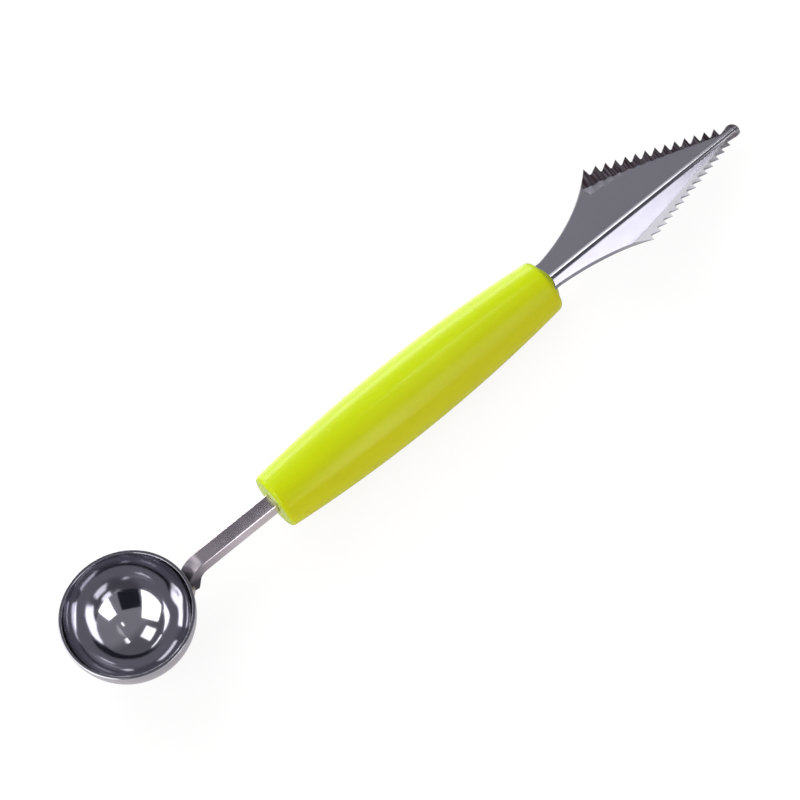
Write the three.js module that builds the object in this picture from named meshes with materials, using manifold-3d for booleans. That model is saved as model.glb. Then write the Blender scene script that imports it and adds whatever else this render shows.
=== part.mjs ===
// A two-ended fruit carving knife: a moulded lime handle carries a melon scoop on a cranked square
// stem at one end and a V-folded, serrated carving blade at the other. Millimetres, +Z up. The tool
// points along X, blade towards +X, and lies at rest on the scoop's bowl and the handle's belly.
import * as THREE from 'three';
import { mergeVertices } from 'three/addons/utils/BufferGeometryUtils.js';
import Module from 'manifold-3d';

const wasm = await Module();
wasm.setup();

// Fits
const SEAT_GAP = 0.3; // clearance between pieces that seat on or in each other

// Handle: a barrel, flat at the scoop end and slightly domed at the blade end
const HANDLE_LENGTH = 81; // between the two end edges, without the dome
const BELLY_RADIUS = 8.95; // at its thickest
const BELLY_OFFSET = 1.5; // thickest place from the handle's middle, towards the scoop
const END_TAPER = 2.05; // how much smaller the radius is at the scoop end
const SCOOP_END_BEVEL = 1.2; // rounded edge of the flat end
const BLADE_END_BEVEL = 1.4; // rounded edge below the dome
const DOME_HEIGHT = 1.8;

// Scoop: a half-round pressed bowl
const BOWL_INNER_RADIUS = 15;
const BOWL_WALL = 0.8;
const RIM_HEIGHT = 2.9; // rim above the handle's axis

// Stem: a square bar, bent down to a foot that is welded to the outside of the bowl
const STEM_LENGTH = 26.2; // from the handle's flat end to the rim
const BAR_WIDTH = 3.8;
const BAR_HEIGHT = 3.7;
const STEM_BEND_RADIUS = 2.3; // inside of the bend
const FOOT_LENGTH = 3.5; // straight end beyond the bend
const FOOT_ANGLE = THREE.MathUtils.degToRad(20); // how far round the bowl, below the rim, the foot sits
const STEM_TANG_LENGTH = 28.5; // held inside the handle
const TANG_STEP = 0.4; // shoulder between bar and tang, above and below
const STEM_HOLE_DEPTH = 16.5; // anchor hole from the handle's flat end

// Weld beads along both sides of the foot
const WELD_LEG = 1.2;

// Blade: one sheet folded to a V that opens upwards
const SHEET = 0.8;
const FOLD_RADIUS = 1.6; // inside of the fold
const FOLD_HEIGHT = 0.8; // where the inner faces would meet, above the handle's axis
const WING_ANGLE = THREE.MathUtils.degToRad(55); // between each wing and the upright
const BLADE_REACH = 56.9; // from the top of the dome to the tip
const WING_NECK = 4.3; // width of a wing where it leaves the handle
const WING_WIDTH = 14.8; // width of a wing at its corner
const CORNER_REACH = 21.5; // from the top of the dome to the corner
const BACK_BEND_REACH = 13.7; // where the two tangents of the curved back edge meet
const BACK_BEND_WIDTH = 6.6;
const TIP_RADIUS = 1.7; // round end of the tip
const TIP_ROUND = THREE.MathUtils.degToRad(120); // how far the round end reaches back from the tip
const TIP_LENGTH = 4.7; // plain end beyond the last tooth
const TIP_WIDTH = 3.05; // width of a wing at the last tooth
const BLADE_TANG_LENGTH = 25.1; // held inside the handle
const BLADE_HOLE_DEPTH = 13.1; // anchor holes from the top of the dome
const BLADE_HOLE_WIDTH = 2.5; // anchor holes from the fold, across the wing

// Teeth along each wing
const TOOTH_COUNT = 14;
const CORNER_TOOTH_WIDTH = 3; // from the corner's point to the next
const TOOTH_DEPTH = 1.6;
const TOOTH_LEAN = 0.3; // how far the points lean towards the tip
const GULLET_WIDTH = 0.5; // flat bottom between teeth

// Anchor holes through both tangs, which the handle's plastic fills
const ANCHOR_HOLE_RADIUS = 0.85;

// Facets
const ROUND_STEPS = 40; // around the handle and the bowl
const ARC_STEPS = 6; // along a curve
const OPEN_END = 2; // how far a cutting shape runs out of the piece that it cuts

// Places worked out from those sizes, along the handle's axis from its middle
const flatEnd = -HANDLE_LENGTH / 2;
const bladeEnd = HANDLE_LENGTH / 2;
const domeTop = bladeEnd + DOME_HEIGHT;
const bellyX = -BELLY_OFFSET;
const bellyToFlatEnd = bellyX - flatEnd;
const barrelArc = (bellyToFlatEnd ** 2 + END_TAPER ** 2) / (2 * END_TAPER);
const bowlRadius = BOWL_INNER_RADIUS + BOWL_WALL;
const bowlX = flatEnd - STEM_LENGTH - bowlRadius;
const footFace = bowlRadius + SEAT_GAP; // from the bowl's middle
const outerBend = STEM_BEND_RADIUS + BAR_HEIGHT;
const bendZ = BAR_HEIGHT / 2 - outerBend;
const bendDrop = (RIM_HEIGHT - bendZ) * Math.sin(FOOT_ANGLE);
const bendX = bowlX + (footFace + outerBend - bendDrop) / Math.cos(FOOT_ANGLE);
const footTop = (bowlX - bendX) * Math.sin(FOOT_ANGLE) + (RIM_HEIGHT - bendZ) * Math.cos(FOOT_ANGLE);
const bladeTangEnd = domeTop - BLADE_TANG_LENGTH;
const tipX = domeTop + BLADE_REACH;

// Axes: a shape drawn in a plane is extruded square to it
const X = new THREE.Vector3(1, 0, 0);
const Y = new THREE.Vector3(0, 1, 0);
const Z = new THREE.Vector3(0, 0, 1);

// Materials
const limePolypropylene = new THREE.MeshStandardMaterial({ color: 0xbcce02, roughness: 0.25, metalness: 0 });
const polishedSteel = new THREE.MeshStandardMaterial({ color: 0xc4c4ca, roughness: 0.08, metalness: 1 });
const brushedSteel = new THREE.MeshStandardMaterial({ color: 0xb4b3bc, roughness: 0.25, metalness: 1 });
const weldSteel = new THREE.MeshStandardMaterial({ color: 0x8e8a88, roughness: 0.5, metalness: 1 });

// Turns a closed geometry into a solid that can be joined and cut
function toSolid(geometry) {
  const bare = geometry.clone();
  bare.deleteAttribute('normal');
  bare.deleteAttribute('uv');
  const merged = mergeVertices(bare);
  const corners = merged.index.array;
  const kept = [];
  for (let i = 0; i < corners.length; i += 3) {
    const [a, b, c] = [corners[i], corners[i + 1], corners[i + 2]];
    if (a !== b && b !== c && c !== a) kept.push(a, b, c);
  }
  const mesh = new wasm.Mesh({
    numProp: 3,
    vertProperties: new Float32Array(merged.attributes.position.array),
    triVerts: new Uint32Array(kept),
  });
  return new wasm.Manifold(mesh);
}

// Turns a solid back into a geometry
function toGeometry(solid) {
  const mesh = solid.getMesh();
  const geometry = new THREE.BufferGeometry();
  geometry.setAttribute('position', new THREE.BufferAttribute(new Float32Array(mesh.vertProperties), 3));
  geometry.setIndex(new THREE.BufferAttribute(new Uint32Array(mesh.triVerts), 1));
  geometry.computeVertexNormals();
  return geometry;
}

// Extrudes a shape by a depth centred on its plane, then lays the shape's own axes along two others
function extrude(shape, depth, across, up) {
  const geometry = new THREE.ExtrudeGeometry(shape, { depth, bevelEnabled: false, curveSegments: ARC_STEPS });
  geometry.translate(0, 0, -depth / 2);
  const square = new THREE.Vector3().crossVectors(across, up);
  return geometry.applyMatrix4(new THREE.Matrix4().makeBasis(across, up, square));
}

// A circle to cut out of a shape
function hole(x, y, radius) {
  return new THREE.Path().absarc(x, y, radius, 0, 2 * Math.PI, false);
}

// Handle's radius at a place along its axis: one arc of a circle
function barrelRadius(x) {
  return BELLY_RADIUS - barrelArc + Math.sqrt(barrelArc ** 2 - (x - bellyX) ** 2);
}

// Angle of a place along the barrel, seen from the centre of its arc
function barrelAngle(x) {
  return Math.asin((x - bellyX) / barrelArc);
}

// Outer form of the handle, turned about its axis
function barrel() {
  const bevelStart = flatEnd + SCOOP_END_BEVEL;
  const bevelEnd = bladeEnd - BLADE_END_BEVEL;
  const endRadius = barrelRadius(flatEnd);
  const domeRadius = barrelRadius(bladeEnd) - BLADE_END_BEVEL;
  const profile = new THREE.Path();
  profile.moveTo(0, flatEnd);
  profile.lineTo(endRadius - SCOOP_END_BEVEL, flatEnd);
  profile.quadraticCurveTo(endRadius, flatEnd, barrelRadius(bevelStart), bevelStart);
  profile.absarc(
    BELLY_RADIUS - barrelArc, bellyX, barrelArc, barrelAngle(bevelStart), barrelAngle(bevelEnd), false,
  );
  profile.quadraticCurveTo(barrelRadius(bladeEnd), bladeEnd, domeRadius, bladeEnd);
  profile.quadraticCurveTo(domeRadius / 2, domeTop, 0, domeTop);
  return new THREE.LatheGeometry(profile.getPoints(ARC_STEPS), ROUND_STEPS).rotateZ(-Math.PI / 2);
}

// Round bar through an anchor hole: the hole itself, or the plastic peg in it
function anchor(radius, place, direction) {
  const length = 2 * (SHEET + BAR_WIDTH);
  const bar = new THREE.CylinderGeometry(radius, radius, length, 4 * ARC_STEPS);
  bar.applyQuaternion(new THREE.Quaternion().setFromUnitVectors(Y, direction));
  return toSolid(bar.translate(place.x, place.y, place.z));
}

// Room in the handle for the stem's tang, with the peg left standing
function stemSocket() {
  const length = STEM_TANG_LENGTH + SEAT_GAP + OPEN_END;
  const height = BAR_HEIGHT - 2 * TANG_STEP + 2 * SEAT_GAP;
  const socket = new THREE.BoxGeometry(length, BAR_WIDTH + 2 * SEAT_GAP, height);
  socket.translate(flatEnd - OPEN_END + length / 2, 0, 0);
  const place = new THREE.Vector3(flatEnd + STEM_HOLE_DEPTH, 0, 0);
  return toSolid(socket).subtract(anchor(ANCHOR_HOLE_RADIUS - SEAT_GAP, place, Y));
}

// Direction along a wing, away from the fold
function wingAxis(side) {
  return new THREE.Vector3(0, side * Math.sin(WING_ANGLE), Math.cos(WING_ANGLE));
}

// Section of the folded sheet, or of the room for it, as a band on both sides of the inner faces
function foldedSection(reach, inside, outside) {
  const rise = FOLD_HEIGHT + FOLD_RADIUS / Math.sin(WING_ANGLE);
  const tangent = FOLD_RADIUS / Math.tan(WING_ANGLE);
  const point = (side, along, out) => new THREE.Vector2(
    side * (along * Math.sin(WING_ANGLE) + out * Math.cos(WING_ANGLE)),
    FOLD_HEIGHT + along * Math.cos(WING_ANGLE) - out * Math.sin(WING_ANGLE),
  );
  const section = new THREE.Shape();
  section.moveTo(...point(-1, reach, -inside));
  section.lineTo(...point(-1, tangent, -inside));
  section.absarc(0, rise, FOLD_RADIUS - inside, Math.PI + WING_ANGLE, -WING_ANGLE, false);
  section.lineTo(...point(1, reach, -inside));
  section.lineTo(...point(1, reach, outside));
  section.lineTo(...point(1, tangent, outside));
  section.absarc(0, rise, FOLD_RADIUS + outside, -WING_ANGLE, Math.PI + WING_ANGLE, true);
  section.lineTo(...point(-1, reach, outside));
  section.closePath();
  return section;
}

// Folded sheet of one width between two places along the axis
function foldedSheet(reach, inside, outside, from, to) {
  const channel = extrude(foldedSection(reach, inside, outside), to - from, Y, Z);
  return toSolid(channel.translate((from + to) / 2, 0, 0));
}

// Round bar through a wing's anchor hole, square to the wing
function bladeAnchor(radius, side) {
  const place = wingAxis(side).multiplyScalar(BLADE_HOLE_WIDTH);
  place.add(new THREE.Vector3(domeTop - BLADE_HOLE_DEPTH, 0, FOLD_HEIGHT));
  return anchor(radius, place, new THREE.Vector3().crossVectors(X, wingAxis(side)));
}

// Room in the handle for the blade's tang, with the pegs left standing
function bladeSlot() {
  const from = bladeTangEnd - SEAT_GAP;
  let slot = foldedSheet(WING_NECK + SEAT_GAP, SEAT_GAP, SHEET + SEAT_GAP, from, domeTop + OPEN_END);
  for (const side of [-1, 1]) {
    slot = slot.subtract(bladeAnchor(ANCHOR_HOLE_RADIUS - SEAT_GAP, side));
  }
  return slot;
}

// Handle with both tangs' rooms
function handle() {
  return toGeometry(toSolid(barrel()).subtract(stemSocket()).subtract(bladeSlot()));
}

// Bowl: an even wall between two quarter arcs, turned about the upright
function scoopBowl() {
  const profile = new THREE.Path();
  profile.moveTo(0, -bowlRadius);
  profile.absarc(0, 0, bowlRadius, -Math.PI / 2, 0, false);
  profile.lineTo(BOWL_INNER_RADIUS, 0);
  profile.absarc(0, 0, BOWL_INNER_RADIUS, 0, -Math.PI / 2, true);
  const bowl = new THREE.LatheGeometry(profile.getPoints(ARC_STEPS), ROUND_STEPS);
  return bowl.rotateX(Math.PI / 2).translate(bowlX, 0, RIM_HEIGHT);
}

// Place beside the bowl, by its distance from the bowl's middle and its way down along the foot
function besideBowl(out, down) {
  return new THREE.Vector2(
    bowlX + out * Math.cos(FOOT_ANGLE) - down * Math.sin(FOOT_ANGLE),
    RIM_HEIGHT - out * Math.sin(FOOT_ANGLE) - down * Math.cos(FOOT_ANGLE),
  );
}

// Stem: its side view, extruded by the bar's width
function scoopStem() {
  const top = BAR_HEIGHT / 2;
  const tangTop = top - TANG_STEP;
  const shoulder = flatEnd - SEAT_GAP;
  const tangEnd = flatEnd + STEM_TANG_LENGTH;
  const footEnd = footTop + FOOT_LENGTH;
  const footAngle = Math.PI - FOOT_ANGLE;
  const side = new THREE.Shape();
  side.moveTo(tangEnd, -tangTop);
  side.lineTo(tangEnd, tangTop);
  side.lineTo(shoulder, tangTop);
  side.lineTo(shoulder, top);
  side.lineTo(bendX, top);
  side.absarc(bendX, bendZ, outerBend, Math.PI / 2, footAngle, false);
  side.lineTo(...besideBowl(footFace, footEnd));
  side.lineTo(...besideBowl(footFace + BAR_HEIGHT, footEnd));
  side.lineTo(...besideBowl(footFace + BAR_HEIGHT, footTop));
  side.absarc(bendX, bendZ, STEM_BEND_RADIUS, footAngle, Math.PI / 2, true);
  side.lineTo(shoulder, -top);
  side.lineTo(shoulder, -tangTop);
  side.closePath();
  side.holes.push(hole(flatEnd + STEM_HOLE_DEPTH, 0, ANCHOR_HOLE_RADIUS));
  return extrude(side, BAR_WIDTH, X, Z);
}

// Weld bead: a quarter round in the corner between the foot's side and the bowl
function stemWeld(side) {
  const out = new THREE.Vector3(Math.cos(FOOT_ANGLE), 0, -Math.sin(FOOT_ANGLE));
  const sideways = Y.clone().multiplyScalar(side);
  const bead = new THREE.Shape();
  bead.moveTo(0, 0);
  bead.lineTo(WELD_LEG, 0);
  bead.absarc(0, 0, WELD_LEG, 0, Math.PI / 2, false);
  bead.closePath();
  const geometry = extrude(bead, FOOT_LENGTH, out, sideways);
  const corner = besideBowl(footFace, footTop + FOOT_LENGTH / 2);
  return geometry.translate(corner.x, side * (BAR_WIDTH / 2 + SEAT_GAP), corner.y);
}

// Sheet to trim off one wing, drawn flat: along the axis, and across from the fold. Its near edge is the
// wing's outline: neck, curved back edge, teeth and round tip
function wingWaste() {
  const corner = new THREE.Vector2(domeTop + CORNER_REACH, WING_WIDTH);
  const lastPoint = new THREE.Vector2(tipX - TIP_LENGTH, TIP_WIDTH);
  const edge = lastPoint.clone().sub(corner);
  const along = edge.clone().normalize();
  const inward = new THREE.Vector2(along.y, -along.x);
  const pitch = (edge.length() - CORNER_TOOTH_WIDTH) / (TOOTH_COUNT - 2);
  const place = (way, depth) => corner.clone().addScaledVector(along, way).addScaledVector(inward, depth);
  const waste = new THREE.Shape();
  waste.moveTo(bladeTangEnd - OPEN_END, WING_NECK);
  waste.lineTo(domeTop, WING_NECK);
  waste.quadraticCurveTo(domeTop + BACK_BEND_REACH, BACK_BEND_WIDTH, corner.x, corner.y);
  let point = 0;
  for (let tooth = 1; tooth <= TOOTH_COUNT; tooth += 1) {
    const next = point + (tooth === 1 ? CORNER_TOOTH_WIDTH : pitch);
    const gullet = (point + next) / 2 - TOOTH_LEAN;
    waste.lineTo(...place(gullet - GULLET_WIDTH / 2, TOOTH_DEPTH));
    waste.lineTo(...place(gullet + GULLET_WIDTH / 2, TOOTH_DEPTH));
    if (tooth < TOOTH_COUNT) waste.lineTo(...place(next, 0));
    point = next;
  }
  waste.absarc(tipX - TIP_RADIUS, 0, TIP_RADIUS, TIP_ROUND, 0, true);
  waste.lineTo(tipX + OPEN_END, 0);
  waste.lineTo(tipX + OPEN_END, WING_WIDTH + 2 * OPEN_END);
  waste.lineTo(bladeTangEnd - OPEN_END, WING_WIDTH + 2 * OPEN_END);
  waste.closePath();
  return waste;
}

// Blade: the folded sheet, with both wings trimmed and drilled square to their faces
function carvingBlade() {
  let blade = foldedSheet(WING_WIDTH + OPEN_END, 0, SHEET, bladeTangEnd, tipX);
  for (const side of [-1, 1]) {
    const waste = extrude(wingWaste(), 2 * (SHEET + FOLD_RADIUS), X, wingAxis(side));
    blade = blade.subtract(toSolid(waste.translate(0, 0, FOLD_HEIGHT)));
    blade = blade.subtract(bladeAnchor(ANCHOR_HOLE_RADIUS, side));
  }
  return toGeometry(blade);
}

// Slope of the line that touches both the bowl and the belly from below
function restPitch() {
  const across = bellyX - bowlX;
  const up = barrelArc - BELLY_RADIUS - RIM_HEIGHT;
  return Math.atan2(up, across) - Math.asin((barrelArc - bowlRadius) / Math.hypot(across, up));
}

function piece(name, geometry, material) {
  const mesh = new THREE.Mesh(geometry, material);
  mesh.name = name;
  return mesh;
}

const tool = new THREE.Group();
tool.add(piece('handle', handle(), limePolypropylene));
tool.add(piece('scoop_bowl', scoopBowl(), polishedSteel));
tool.add(piece('scoop_stem', scoopStem(), brushedSteel));
tool.add(piece('stem_weld_left', stemWeld(1), weldSteel));
tool.add(piece('stem_weld_right', stemWeld(-1), weldSteel));
tool.add(piece('carving_blade', carvingBlade(), brushedSteel));

// Laid at rest, with the origin under the middle of its outer box
tool.rotation.y = restPitch();
const box = new THREE.Box3().setFromObject(tool, true);
const middle = box.getCenter(new THREE.Vector3());
tool.position.set(-middle.x, -middle.y, -box.min.z);

const knife = new THREE.Group();
knife.add(tool);

export default knife;
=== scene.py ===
"""A two-ended fruit carving knife, dressed for a picture: a glossy lime handle with a mirror-polished
melon scoop on a cranked square stem at one end, and a V-folded, serrated carving blade at the other.

All sizes are in metres. Each piece is worked out in the tool's own frame, with the origin in the middle of
the handle, X along the handle towards the blade and Z up, and is then laid at rest as the solids are.
"""
import math

import bmesh
import bpy
import numpy as np
from bpy.props import FloatProperty, FloatVectorProperty, IntProperty, PointerProperty
from mathutils import Matrix, Vector


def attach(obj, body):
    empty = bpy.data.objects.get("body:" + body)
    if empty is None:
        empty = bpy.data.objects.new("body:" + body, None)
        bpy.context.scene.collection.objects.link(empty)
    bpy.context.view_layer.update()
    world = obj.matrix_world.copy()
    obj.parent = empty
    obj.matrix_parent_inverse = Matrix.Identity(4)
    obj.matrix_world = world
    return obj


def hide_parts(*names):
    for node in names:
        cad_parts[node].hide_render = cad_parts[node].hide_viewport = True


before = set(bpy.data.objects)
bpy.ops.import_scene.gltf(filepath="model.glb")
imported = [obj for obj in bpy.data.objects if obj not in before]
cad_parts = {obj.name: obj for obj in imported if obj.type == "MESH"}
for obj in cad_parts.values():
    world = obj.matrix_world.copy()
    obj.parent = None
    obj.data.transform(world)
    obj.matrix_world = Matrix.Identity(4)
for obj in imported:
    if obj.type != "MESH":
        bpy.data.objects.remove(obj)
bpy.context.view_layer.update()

bl_info = {
    "name": "Fruit carving knife",
    "version": (1, 0, 0),
    "blender": (4, 5, 0),
    "location": "View3D > Sidebar > Fruit knife",
    "description": "Builds a two-ended fruit carving knife with its materials, and a white studio",
    "category": "Object",
}

MM = 0.001
BODY = "root"
SAME_PLACE = 1e-7  # points that are nearer than this become one
CREASE = math.radians(32)  # edges sharper than this are not smoothed
COLOURS = {"data_type": "RGBA"}  # makes a mix node mix colours


# Colours and settings

def linear(code):
    """An sRGB hex colour as linear red, green and blue."""
    parts = np.array([int(code[i:i + 2], 16) for i in (0, 2, 4)]) / 255
    return tuple(np.where(parts <= 0.04045, parts / 12.92, ((parts + 0.055) / 1.055) ** 2.4))


def length(label, words, millimetres):
    """A length setting, given in millimetres."""
    return FloatProperty(name=label, description=words, default=millimetres * MM, unit="LENGTH", precision=5)


def angle(label, words, degrees):
    """An angle setting, given in degrees."""
    return FloatProperty(name=label, description=words, default=math.radians(degrees), unit="ROTATION")


def number(label, words, value):
    """A plain number setting."""
    return FloatProperty(name=label, description=words, default=value)


def colour(label, words, code):
    """A colour setting, given as an sRGB hex value."""
    return FloatVectorProperty(name=label, description=words, default=linear(code), subtype="COLOR", size=3)


class HandleSettings(bpy.types.PropertyGroup):
    """Sizes and colours of the moulded handle"""

    size: length("Length", "Between the two end edges, without the dome", 81)
    belly_radius: length("Belly radius", "Radius at the thickest place", 8.944)
    belly_offset: length("Belly offset", "Thickest place from the middle, towards the scoop", 1.5)
    end_taper: length("End taper", "How much smaller the radius is at the scoop end", 2.05)
    scoop_bevel: length("Scoop end edge", "Rounded edge of the flat end", 1.2)
    blade_bevel: length("Blade end edge", "Rounded edge below the dome", 1.4)
    dome: length("Dome", "Height of the domed blade end", 1.8)
    gap: length("Seat gap", "Clearance around the two tangs", 0.3)
    lime: colour("Lime", "Colour of the plastic", "BAD002")
    shade: colour("Flow shade", "Colour of the plastic's faint flow streaks", "B2C402")


class ScoopSettings(bpy.types.PropertyGroup):
    """Sizes and colours of the scoop's bowl, stem and welds"""

    inner_radius: length("Bowl radius", "Inside radius of the bowl", 15)
    wall: length("Bowl wall", "Thickness of the pressed sheet", 0.8)
    buffed: length("Buffed off", "What the buffing took off the bowl's outside", 0.05)
    rim_height: length("Rim height", "Rim above the handle's axis", 2.9)
    rim_round: length("Rim rounding", "Rounding of the rim's two edges", 0.09)
    dimple_height: length("Weld dimple height", "How far the weld pushed the wall inwards", 0.22)
    dimple_radius: length("Weld dimple radius", "Spread of the dimple", 2.6)
    dimple_angle: angle("Weld dimple place", "How far the dimple lies below the rim", 35)
    stem_length: length("Stem length", "From the handle's flat end to the rim", 26.2)
    bar_width: length("Bar width", "Width of the square bar", 3.8)
    bar_height: length("Bar height", "Height of the square bar", 3.7)
    bar_round: length("Bar rounding", "Rounding of the bar's long edges", 0.35)
    bend_radius: length("Bend radius", "Inside of the bend", 2.3)
    foot_length: length("Foot length", "Straight end beyond the bend", 3.5)
    foot_angle: angle("Foot place", "How far below the rim the foot sits", 20)
    tang: length("Tang length", "Length of bar inside the handle", 28.5)
    tang_step: length("Tang step", "Shoulder between bar and tang, above and below", 0.4)
    weld_radius: length("Weld radius", "Radius of a weld bead", 1.15)
    weld_ripples: IntProperty(name="Weld ripples", description="Ripples along a weld bead", default=6)
    # Painted shade: the bar's darkening above the foot stands for the shade where the bar meets the bowl,
    # with the look of weld heat tint. This is how far up the bar it reaches.
    scorch_shade_reach: length("Heat reach", "How far above the foot welding darkened the bar", 8)
    polished: colour("Polished steel", "Reflection colour of the bowl", "C9C8CF")
    drawn: colour("Drawn steel", "Reflection colour of the stem", "E2D8DF")
    # Painted shade: this dark colour on the foot and the end of the bend stands for the shade where the bar
    # meets the bowl, with the look of weld heat tint.
    scorched_and_shaded: colour("Scorched steel", "Reflection colour of the foot, darkened by welding", "4A4450")
    heat: colour("Heat tint", "Colour that welding left on the beads", "7A6453")


class BladeSettings(bpy.types.PropertyGroup):
    """Sizes and colours of the folded blade"""

    sheet: length("Sheet", "Thickness of the sheet", 0.8)
    fold_radius: length("Fold radius", "Inside of the fold", 1.6)
    fold_height: length("Fold height", "Where the inner faces would meet, above the handle's axis", 0.8)
    wing_angle: angle("Wing angle", "Between each wing and the upright", 55)
    reach: length("Reach", "From the top of the handle's dome to the tip", 56.9)
    neck: length("Neck width", "Width of a wing where it leaves the handle", 4.3)
    width: length("Wing width", "Width of a wing at its corner", 14.8)
    corner_reach: length("Corner", "From the top of the dome to the corner", 21.5)
    back_reach: length("Back bend", "Where the back edge's tangents meet, along the blade", 13.7)
    back_width: length("Back bend width", "Where the back edge's tangents meet, across the wing", 6.6)
    tip_radius: length("Tip radius", "Round end of the tip", 1.7)
    tip_round: angle("Tip round", "How far the round end reaches back from the tip", 120)
    tip_length: length("Tip length", "Plain end beyond the last tooth", 4.7)
    tip_width: length("Tip width", "Width of a wing at the last tooth", 3.05)
    tang: length("Tang length", "Length of blade inside the handle", 25.1)
    teeth: IntProperty(name="Teeth", description="Teeth along each wing", default=14)
    corner_tooth: length("Corner tooth", "From the corner's point to the next point", 3)
    tooth_depth: length("Tooth depth", "From the points to the gullets", 1.6)
    tooth_lean: length("Tooth lean", "How far the points lean towards the tip", 0.3)
    gullet: length("Gullet", "Flat bottom between two teeth", 0.5)
    edge: length("Edge thickness", "Thickness left at the ground edge", 0.08)
    ground_corner: length("Ground band at corner", "Reach of the grinding below the corner's point", 4.2)
    ground_tip: length("Ground band at tip", "Reach of the grinding below the last points", 1.75)
    scallop: length("Scallop", "How much further the grinding reaches below a gullet", 0.4)
    margin: length("Margin", "Width of the step from the ground slope to the plain sheet", 0.2)
    worn: length("Worn patches", "Height of the bright patches below the teeth at the corner", 1.5)
    worn_reach: number("Worn reach", "Share of the toothed edge with bright patches below it", 0.4)
    tip_cut: number("Tip cut", "Share of the sheet that the grinding takes off round the tip", 0.15)
    # Partly painted shade: from here to the tip the right wing's slope gets the dark ground colour, which it
    # lacks further back although it is ground alike.
    shade_run_in: number("Run-in", "Where along the right wing's teeth the tip's dark finish starts", 0.75)
    full_tint: number("Full tint", "Share of the cut from which the grinding shows its full colour", 0.18)
    steel: colour("Brushed steel", "Reflection colour of the sheet", "BDBCC3")
    bright: colour("Bright patches", "Reflection colour of the worn patches", "DCDAE4")
    # Partly painted shade: this dark colour lies on the left wing's ground slope all along and on the right
    # wing's only near the tip, although both slopes are ground alike.
    ground: colour("Ground steel", "Reflection colour of the ground teeth", "40343A")


class StageSettings(bpy.types.PropertyGroup):
    """Camera and light"""

    azimuth: angle("Azimuth", "Camera's way round the object, from the front", -17.25)
    elevation: angle("Elevation", "Camera's height above the floor", 63.76)
    roll: angle("Roll", "Turn of the picture, counter-clockwise", 24.4)
    lens: number("Lens", "Focal length in millimetres on a 36 mm sensor", 190.3)
    distance: length("Distance", "From the camera to the point that it looks at", 965.5)
    aim: FloatVectorProperty(
        name="Aim", description="Point at the middle of the picture", unit="LENGTH",
        default=(-3.46 * MM, 0.40 * MM, 9.0 * MM),
    )
    room: colour("Room", "Grey of the room that the steel reflects", "8C8B92")
    dim: colour("Dim side", "Darker grey of the room behind the object", "66656C")
    fill: colour("Fill", "Soft light of the room on matt surfaces", "A6A6A8")
    warm: colour("Warm", "Tone of the lamp in front", "FFA058")
    pale: colour("Pale", "Floor and horizon in reflections", "B4B4B8")
    white: colour("White", "Floor, background and neutral lamps", "FFFFFF")
    dark: colour("Dark card", "Dark shape between the windows that the bowl reflects", "262730")


# Mesh and material helpers

def sizes():
    """Settings of the handle, the scoop and the blade."""
    scene = bpy.context.scene
    return scene.knife_handle, scene.knife_scoop, scene.knife_blade


def rest(points):
    """Points of the tool's own frame, laid at rest: turned about Y by the slope of the line that touches the
    bowl's circle and the belly's arc from below, then lifted onto the floor, with the origin under the middle
    between the bowl's far side and the tip."""
    h, s, b = sizes()
    across = -h.belly_offset - bowl_x()
    up = barrel_arc() - h.belly_radius - s.rim_height
    bowl = s.inner_radius + s.wall
    pitch = math.atan2(up, across) - math.asin((barrel_arc() - bowl) / math.hypot(across, up))
    cosine, sine = math.cos(pitch), math.sin(pitch)
    lift = bowl - s.rim_height * cosine + bowl_x() * sine
    far_side = bowl_x() * cosine + s.rim_height * sine - bowl
    tip = tip_x() * cosine + (b.fold_height + b.tip_radius) * sine
    x, y, z = np.moveaxis(points, -1, 0)
    middle = (far_side + tip) / 2
    return np.stack([x * cosine + z * sine - middle, y, z * cosine - x * sine + lift], axis=-1)


def grid_mesh(name, points, values=None):
    """A closed mesh from a grid of points: rows follow the first parameter, and the points of a row run round
    a closed loop. The first and the last row are filled, and points that fall together become one. values
    holds a number for each point under each attribute's name."""
    rows, around = points.shape[:2]
    index = np.arange(rows * around).reshape(rows, around)
    after = np.roll(index, -1, axis=1)
    quads = np.stack([index[:-1], after[:-1], after[1:], index[1:]], axis=-1).reshape(-1, 4)
    mesh = bpy.data.meshes.new(name)
    mesh.from_pydata(rest(points).reshape(-1, 3).tolist(), [], quads.tolist())
    for label, numbers in (values or {}).items():
        mesh.attributes.new(label, "FLOAT", "POINT").data.foreach_set("value", numbers.ravel())
    shape = bmesh.new()
    shape.from_mesh(mesh)
    bmesh.ops.remove_doubles(shape, verts=shape.verts, dist=SAME_PLACE)
    bmesh.ops.holes_fill(shape, edges=[edge for edge in shape.edges if edge.is_boundary])
    bmesh.ops.recalc_face_normals(shape, faces=shape.faces)
    shape.to_mesh(mesh)
    shape.free()
    mesh.shade_smooth()
    mesh.set_sharp_from_angle(angle=CREASE)
    return mesh


def place(name, mesh, material, node):
    """Puts a finished mesh into the scene as the piece that stands for a solid."""
    mesh.materials.append(material)
    piece = bpy.data.objects.new(name, mesh)
    bpy.context.collection.objects.link(piece)
    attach(piece, BODY)
    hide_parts(node)


def new_material(name):
    """An empty node material and its tree."""
    material = bpy.data.materials.new(name)
    material.use_nodes = True
    material.node_tree.nodes.clear()
    return material, material.node_tree


def add(tree, kind, settings=None, values=None, links=None):
    """Adds a shader node and sets its own settings and its sockets' values. Links to it the outputs that are
    given, and of a given node the first output."""
    node = tree.nodes.new("ShaderNode" + kind)
    for key, value in (settings or {}).items():
        setattr(node, key, value)
    for key, value in (values or {}).items():
        node.inputs[key].default_value = value
    for key, source in (links or {}).items():
        output = source.outputs[0] if isinstance(source, bpy.types.Node) else source
        tree.links.new(output, node.inputs[key])
    return node


def solid(rgb):
    """A colour setting with full alpha."""
    return (*rgb, 1)


# Places along the handle's axis

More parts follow.
